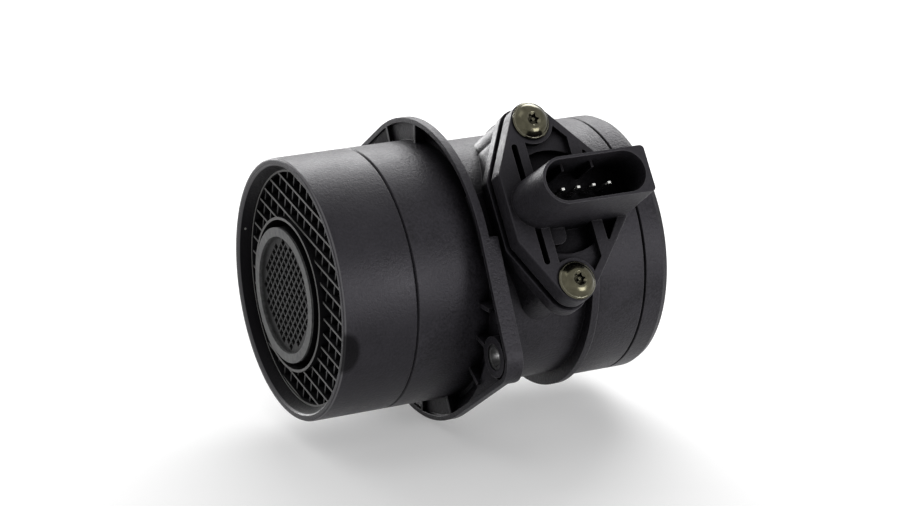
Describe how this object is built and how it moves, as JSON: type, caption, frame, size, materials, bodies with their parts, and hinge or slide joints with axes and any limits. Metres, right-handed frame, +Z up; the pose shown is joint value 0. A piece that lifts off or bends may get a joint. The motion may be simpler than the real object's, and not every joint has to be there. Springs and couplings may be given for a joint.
{
  "type": "mass airflow sensor",
  "caption": "Round plastic air duct with a two-ear flange, a grid and mesh in the inlet, and a plug-in flow sensor screwed to a slanted pad on its side.",
  "frame": {"origin": "centre of the inlet rim, on the duct's axis", "axes": "+X along the duct from the inlet to the outlet, +Z up, the sensor pad faces -Y and upwards"},
  "size_m": [0.1231, 0.1379, 0.1167],
  "materials": {
    "housing_plastic": "fine spark-eroded grain, dull black",
    "sleeve_plastic": "fine spark-eroded grain, dull black",
    "grid_plastic": "plain moulded, dull black",
    "tube_plastic": "plain moulded, dull black",
    "mesh_plastic": "plain moulded, light grey",
    "sensor_plastic": "fine grain, dull black",
    "cover_plastic": "smooth, dull black",
    "seal_rubber": "matt black",
    "screw_steel": "yellowish zinc plating",
    "bushing_steel": "dull grey",
    "terminal_plating": "bright tin plating",
    "board_laminate": "green solder mask",
    "carrier_metal": "plain sheet",
    "chip_ceramic": "dark and glassy",
    "bead_resin": "brown resin"
  },
  "bodies": {
    "root": {"main_housing": "housing_plastic", "inlet_sleeve": "sleeve_plastic", "inlet_grid": "grid_plastic", "measuring_tube": "tube_plastic", "fine_mesh": "mesh_plastic", "sensor_body": "sensor_plastic", "pad_gasket": "seal_rubber", "probe_seal_ring": "seal_rubber", "probe_cover": "cover_plastic", "circuit_board": "board_laminate", "carrier_plate": "carrier_metal", "sensing_element": "chip_ceramic", "air_temperature_bead": "bead_resin", "upper_sensor_screw": "screw_steel", "lower_sensor_screw": "screw_steel", "near_flange_bushing": "bushing_steel", "far_flange_bushing": "bushing_steel", "connector_terminal_1": "terminal_plating", "connector_terminal_2": "terminal_plating", "connector_terminal_3": "terminal_plating", "connector_terminal_4": "terminal_plating"}
  },
  "joints": []
}
